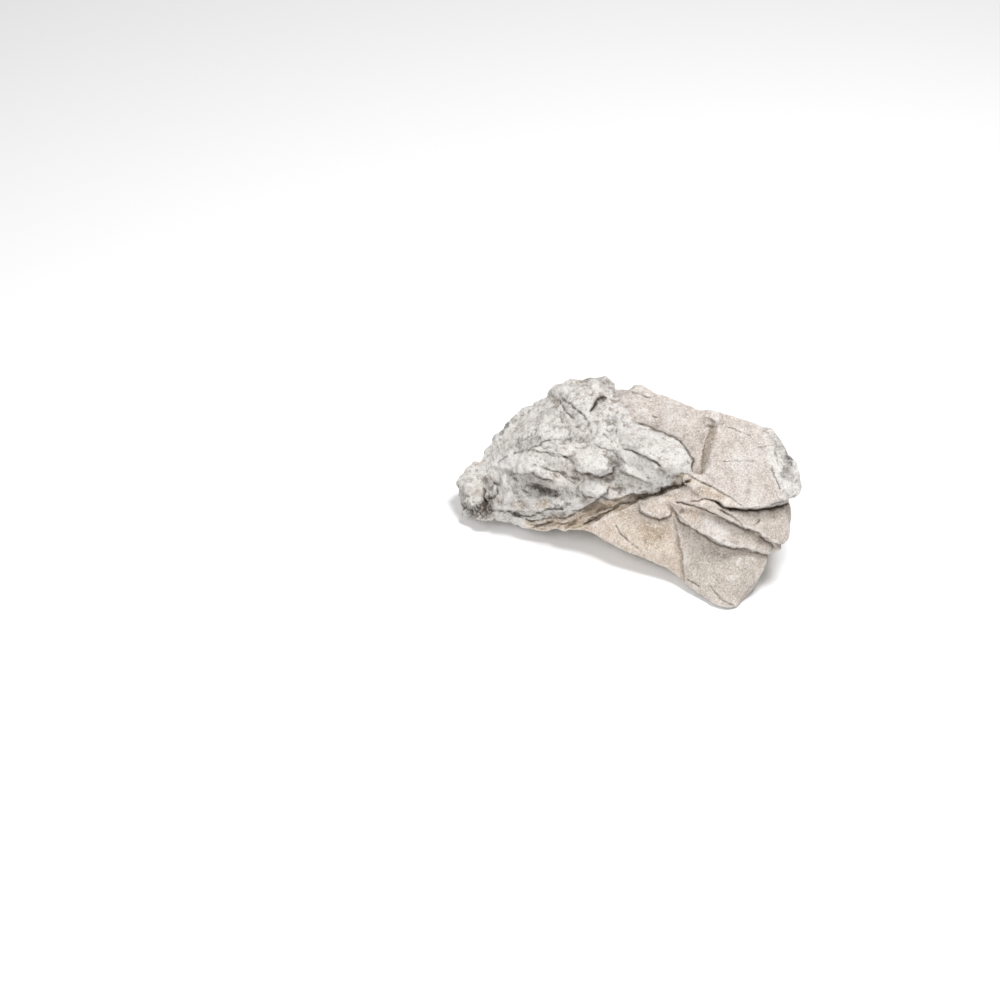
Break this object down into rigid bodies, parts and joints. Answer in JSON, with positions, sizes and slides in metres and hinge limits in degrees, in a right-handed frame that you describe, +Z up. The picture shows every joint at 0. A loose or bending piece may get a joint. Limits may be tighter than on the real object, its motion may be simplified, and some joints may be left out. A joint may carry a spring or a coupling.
{
  "type": "aquascape stone",
  "caption": "Grey-beige limestone boulder with a wrinkled, lobed upper mass, thin fanned beds at one end and a flat patch to rest on.",
  "frame": {"origin": "centre of the bounding box's bottom face, on the ground below the stone's middle", "axes": "+Z up; +X along the stone's length, from the lobed tip to the bedded end; -Y is the side that the picture shows"},
  "size_m": [0.2434, 0.1754, 0.1011],
  "materials": {
    "stone": "matte"
  },
  "bodies": {
    "root": {"stone": "stone"}
  },
  "joints": []
}
